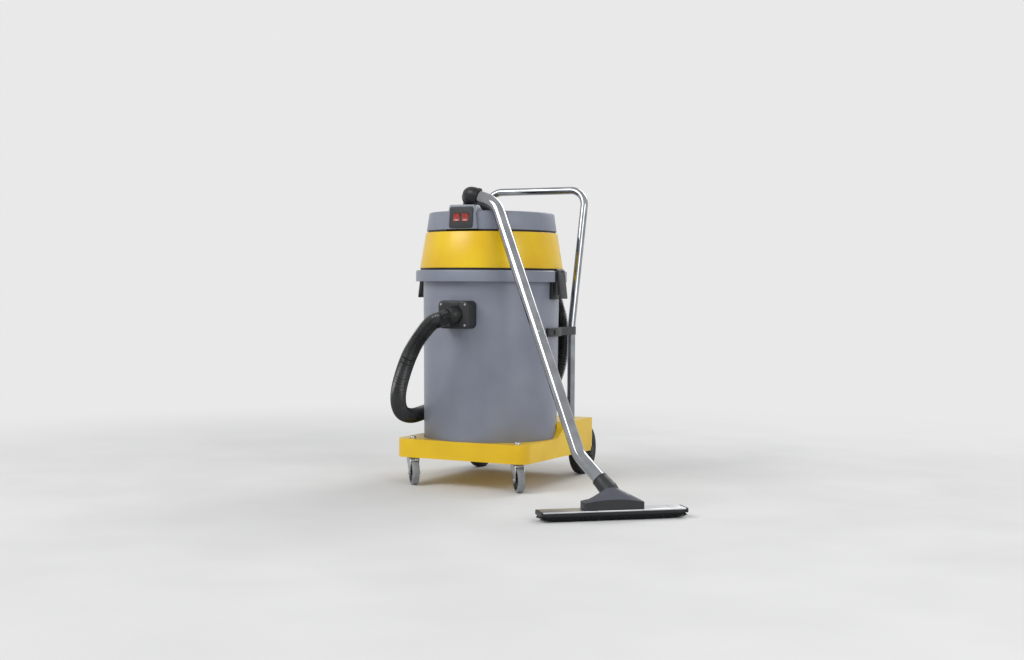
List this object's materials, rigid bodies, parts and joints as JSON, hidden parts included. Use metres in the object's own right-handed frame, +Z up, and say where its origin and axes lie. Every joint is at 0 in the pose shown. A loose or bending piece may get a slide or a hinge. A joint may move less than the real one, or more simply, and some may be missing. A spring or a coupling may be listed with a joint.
{
  "type": "shop vacuum",
  "caption": "Wet and dry shop vacuum: tank on a wheeled trolley with push handle, motor head, ribbed suction hose, chrome wand and wide brush floor tool.",
  "frame": {"origin": "on the floor, at the bottom centre of the box round everything but the hose", "axes": "+Z up, -Y towards the switch face, +X towards the side where the wand is parked"},
  "size_m": [1.0687, 1.0472, 0.9574],
  "materials": {
    "grey_plastic": "satin moulded",
    "yellow_plastic": "satin moulded",
    "black_plastic": "fine grained",
    "hose_plastic": "semi-matt, ribbed",
    "black_rubber": "matt",
    "black_tyre": "matt",
    "grey_tyre": "matt",
    "hood_plastic": "satin moulded",
    "switch_red": "glossy",
    "chrome_tube": "polished",
    "zinc_steel": "bright zinc",
    "motor_metal": "pressed",
    "bar_aluminium": "extruded, satin",
    "filter_paper": "pleated, matt",
    "bristle": "matt"
  },
  "bodies": {
    "trolley": {"trolley_base": "yellow_plastic", "rear_axle": "zinc_steel", "axle_cap_left": "black_plastic", "axle_cap_right": "black_plastic", "tank": "grey_plastic", "inlet_block": "black_plastic", "inlet_cuff": "black_rubber", "push_handle": "chrome_tube", "hose_lower": "hose_plastic", "caster_stem_left": "zinc_steel", "caster_stem_right": "zinc_steel", "handle_stay_left": "black_plastic", "handle_stay_right": "black_plastic", "latch_plate_left": "black_plastic", "latch_plate_right": "black_plastic", "latch_pin_left": "zinc_steel", "latch_pin_right": "zinc_steel"},
    "caster_left": {"caster_fork_left": "zinc_steel", "caster_axle_left": "zinc_steel"},
    "caster_right": {"caster_fork_right": "zinc_steel", "caster_axle_right": "zinc_steel"},
    "caster_wheel_left": {"caster_hub_left": "black_plastic", "caster_tyre_left": "grey_tyre"},
    "caster_wheel_right": {"caster_hub_right": "black_plastic", "caster_tyre_right": "grey_tyre"},
    "rear_wheel_left": {"rear_hub_left": "black_plastic", "rear_tyre_left": "black_tyre"},
    "rear_wheel_right": {"rear_hub_right": "black_plastic", "rear_tyre_right": "black_tyre"},
    "latch_left": {"latch_lever_left": "black_plastic"},
    "latch_right": {"latch_lever_right": "black_plastic"},
    "head": {"head_seal": "black_rubber", "head_plate": "black_plastic", "motor_band": "yellow_plastic", "top_cap": "grey_plastic", "cable_gland": "black_rubber", "filter_cartridge": "filter_paper", "float_cage": "black_plastic", "suction_motor_left": "motor_metal", "suction_motor_right": "motor_metal", "switch_housing": "grey_plastic", "switch_panel": "black_plastic", "hose_upper": "hose_plastic", "hose_elbow": "black_rubber"},
    "float": {"float_ball": "black_plastic"},
    "rocker_left": {"rocker_left": "switch_red"},
    "rocker_right": {"rocker_right": "switch_red"},
    "wand": {"wand_upper": "chrome_tube", "wand_lower": "chrome_tube", "tool_neck": "black_plastic"},
    "lock_button": {"lock_button": "zinc_steel"},
    "floor_tool": {"tool_hood": "hood_plastic", "tool_bar": "bar_aluminium", "tool_end_cap_left": "black_plastic", "tool_end_cap_right": "black_plastic", "brush_front": "bristle", "brush_rear": "bristle"}
  },
  "joints": [
    {"name": "caster_swivel_left", "type": "hinge", "parent": "trolley", "child": "caster_left", "pos_m": [-0.45443, -0.04085, 0.083], "axis": [0, 0, 1], "continuous": true},
    {"name": "caster_spin_left", "type": "hinge", "parent": "caster_left", "child": "caster_wheel_left", "pos_m": [-0.43882, -0.05909, 0.0375], "axis": [0.7598, 0.6502, 0], "continuous": true},
    {"name": "rear_spin_left", "type": "hinge", "parent": "trolley", "child": "rear_wheel_left", "pos_m": [-0.46293, 0.44115, 0.0825], "axis": [1, 0, 0], "continuous": true},
    {"name": "latch_left_swing", "type": "hinge", "parent": "trolley", "child": "latch_left", "pos_m": [-0.50893, 0.13715, 0.6685], "axis": [0, 1, 0], "range_deg": [0, 100]},
    {"name": "rocker_left_tilt", "type": "hinge", "parent": "head", "child": "rocker_left", "pos_m": [-0.28743, -0.06854, 0.8305], "axis": [-1, 0, 0], "range_deg": [0, 14]},
    {"name": "caster_swivel_right", "type": "hinge", "parent": "trolley", "child": "caster_right", "pos_m": [-0.09043, -0.04085, 0.083], "axis": [0, 0, 1], "continuous": true},
    {"name": "caster_spin_right", "type": "hinge", "parent": "caster_right", "child": "caster_wheel_right", "pos_m": [-0.07482, -0.05909, 0.0375], "axis": [0.7598, 0.6502, 0], "continuous": true},
    {"name": "rear_spin_right", "type": "hinge", "parent": "trolley", "child": "rear_wheel_right", "pos_m": [-0.08193, 0.44115, 0.0825], "axis": [1, 0, 0], "continuous": true},
    {"name": "latch_right_swing", "type": "hinge", "parent": "trolley", "child": "latch_right", "pos_m": [-0.03593, 0.13715, 0.6685], "axis": [0, -1, 0], "range_deg": [0, 100]},
    {"name": "rocker_right_tilt", "type": "hinge", "parent": "head", "child": "rocker_right", "pos_m": [-0.25743, -0.06854, 0.8305], "axis": [-1, 0, 0], "range_deg": [0, 14]},
    {"name": "head_lift", "type": "slide", "parent": "trolley", "child": "head", "axis": [0, 0, 1], "range_m": [0, 0.3]},
    {"name": "float_rise", "type": "slide", "parent": "head", "child": "float", "axis": [0, 0, 1], "range_m": [0, 0.045]},
    {"name": "wand_swing", "type": "hinge", "parent": "head", "child": "wand", "pos_m": [-0.22973, -0.05185, 0.8965], "axis": [-0.938, -0.1366, 0.3187], "range_deg": [0, 90]},
    {"name": "button_press", "type": "slide", "parent": "wand", "child": "lock_button", "axis": [-0.2527, 0.8468, -0.468], "range_m": [0, 0.004], "stiffness_N_per_m": 400, "springref_m": -0.002},
    {"name": "tool_swivel", "type": "hinge", "parent": "wand", "child": "floor_tool", "pos_m": [0.33758, -0.35164, 0.067], "axis": [-0.4175, 0.4888, 0.766], "range_deg": [-60, 60]}
  ]
}
